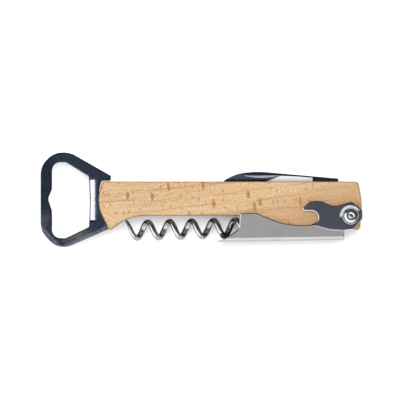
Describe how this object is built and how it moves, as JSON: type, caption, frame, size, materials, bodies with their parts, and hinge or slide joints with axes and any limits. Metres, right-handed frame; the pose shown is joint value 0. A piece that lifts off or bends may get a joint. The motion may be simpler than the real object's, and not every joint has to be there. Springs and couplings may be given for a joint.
{
  "type": "folding waiter's corkscrew and bottle opener",
  "caption": "Folding waiter's corkscrew with wooden scales, a steel ring cap lifter, a foil knife, a worm and a channel lever with a hook notch.",
  "frame": {"origin": "centre of the bounding box at its lowest point: the tool lies flat on its back scale with the lever and knife folded", "axes": "+X along the handle towards the lever rivet, +Y across the handle towards the knife's spine, +Z through the thickness towards the front scale"},
  "size_m": [0.14, 0.0412, 0.0176],
  "materials": {
    "dark_steel": "dark polished steel",
    "polished_steel": "polished steel",
    "satin_steel": "satin nickel-plated sheet",
    "plain_steel": "plain rolled steel",
    "chrome": "bright chrome plate",
    "brass": "plain",
    "beech": "sanded, thin clear oil"
  },
  "bodies": {
    "handle": {"opener_plate": "dark_steel", "front_liner": "plain_steel", "back_liner": "plain_steel", "front_scale": "beech", "back_scale": "beech", "back_spring": "plain_steel", "plate_rivet_left": "plain_steel", "plate_rivet_right": "plain_steel", "spring_rivet_left": "plain_steel", "spring_rivet_right": "plain_steel", "knife_pin": "plain_steel", "knife_washer_front": "brass", "knife_washer_back": "brass", "worm_pin": "plain_steel", "lever_bush": "brass", "end_spacer": "plain_steel", "lever_rivet": "polished_steel", "lever_washer_front": "brass", "lever_washer_back": "brass", "rivet_collar_front": "polished_steel", "rivet_collar_back": "polished_steel"},
    "knife": {"knife_blade": "polished_steel"},
    "corkscrew": {"worm": "chrome"},
    "lever": {"lever": "satin_steel"}
  },
  "joints": [
    {"name": "knife_hinge", "type": "hinge", "parent": "handle", "child": "knife", "pos_m": [0.056, 0.0038, 0.0088], "axis": [0, 0, -1], "range_deg": [0, 180]},
    {"name": "lever_hinge", "type": "hinge", "parent": "handle", "child": "lever", "pos_m": [0.065, -0.0071, 0.0088], "axis": [0, 0, 1], "range_deg": [0, 110]},
    {"name": "worm_hinge", "type": "hinge", "parent": "handle", "child": "corkscrew", "pos_m": [0.038, -0.0089, 0.0088], "axis": [0, 0, 1], "range_deg": [0, 90]}
  ],
  "couplings": [
    {"joint": "worm_hinge", "follows": "lever_hinge", "ratio": 0.818}
  ]
}
